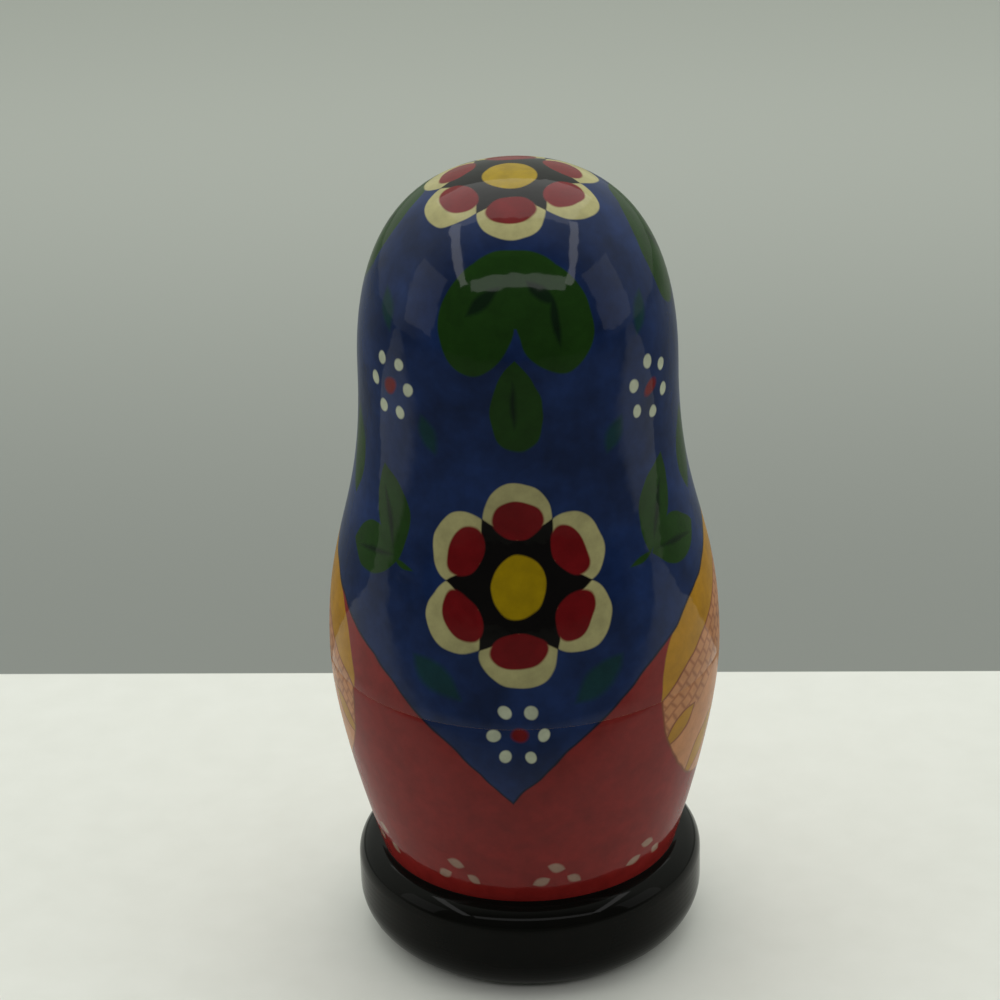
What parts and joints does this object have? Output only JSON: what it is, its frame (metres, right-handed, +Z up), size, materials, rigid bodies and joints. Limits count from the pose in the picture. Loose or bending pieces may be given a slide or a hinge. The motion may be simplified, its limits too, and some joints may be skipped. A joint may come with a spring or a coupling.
{
  "type": "nesting doll",
  "caption": "Turned wooden nesting doll with a round belly, a kerchief over the head and a wide foot; it pulls apart at the widest line and holds smaller dolls.",
  "frame": {"origin": "centre of the underside of the largest doll's foot", "axes": "+Z up along the turning axis, -Y the way the painted face looks"},
  "size_m": [0.072, 0.072, 0.15],
  "materials": {
    "dress_painted_limewood": "red and black paint under gloss lacquer outside, bare turned wood inside",
    "kerchief_painted_limewood": "blue paint with flowers and leaves under gloss lacquer outside, bare turned wood inside"
  },
  "bodies": {
    "largest_doll_lower_half": {"largest_doll_lower_half": "dress_painted_limewood"},
    "largest_doll_upper_half": {"largest_doll_upper_half": "kerchief_painted_limewood"},
    "second_doll_lower_half": {"second_doll_lower_half": "dress_painted_limewood"},
    "second_doll_upper_half": {"second_doll_upper_half": "kerchief_painted_limewood"},
    "third_doll_lower_half": {"third_doll_lower_half": "dress_painted_limewood"},
    "third_doll_upper_half": {"third_doll_upper_half": "kerchief_painted_limewood"},
    "fourth_doll_lower_half": {"fourth_doll_lower_half": "dress_painted_limewood"},
    "fourth_doll_upper_half": {"fourth_doll_upper_half": "kerchief_painted_limewood"},
    "smallest_doll": {"smallest_doll": "dress_painted_limewood"}
  },
  "joints": [
    {"name": "lift_second_doll", "type": "slide", "parent": "largest_doll_lower_half", "child": "second_doll_lower_half", "axis": [0, 0, 1], "range_m": [0, 0.065]},
    {"name": "lift_third_doll", "type": "slide", "parent": "second_doll_lower_half", "child": "third_doll_lower_half", "axis": [0, 0, 1], "range_m": [0, 0.047]},
    {"name": "lift_fourth_doll", "type": "slide", "parent": "third_doll_lower_half", "child": "fourth_doll_lower_half", "axis": [0, 0, 1], "range_m": [0, 0.034]},
    {"name": "lift_smallest_doll", "type": "slide", "parent": "fourth_doll_lower_half", "child": "smallest_doll", "axis": [0, 0, 1], "range_m": [0, 0.025]},
    {"name": "open_fourth_doll", "type": "slide", "parent": "smallest_doll", "child": "fourth_doll_upper_half", "axis": [0, 0, 1], "range_m": [0, 0.025]},
    {"name": "open_third_doll", "type": "slide", "parent": "fourth_doll_upper_half", "child": "third_doll_upper_half", "axis": [0, 0, 1], "range_m": [0, 0.034]},
    {"name": "open_second_doll", "type": "slide", "parent": "third_doll_upper_half", "child": "second_doll_upper_half", "axis": [0, 0, 1], "range_m": [0, 0.047]},
    {"name": "open_largest_doll", "type": "slide", "parent": "second_doll_upper_half", "child": "largest_doll_upper_half", "axis": [0, 0, 1], "range_m": [0, 0.065]}
  ]
}
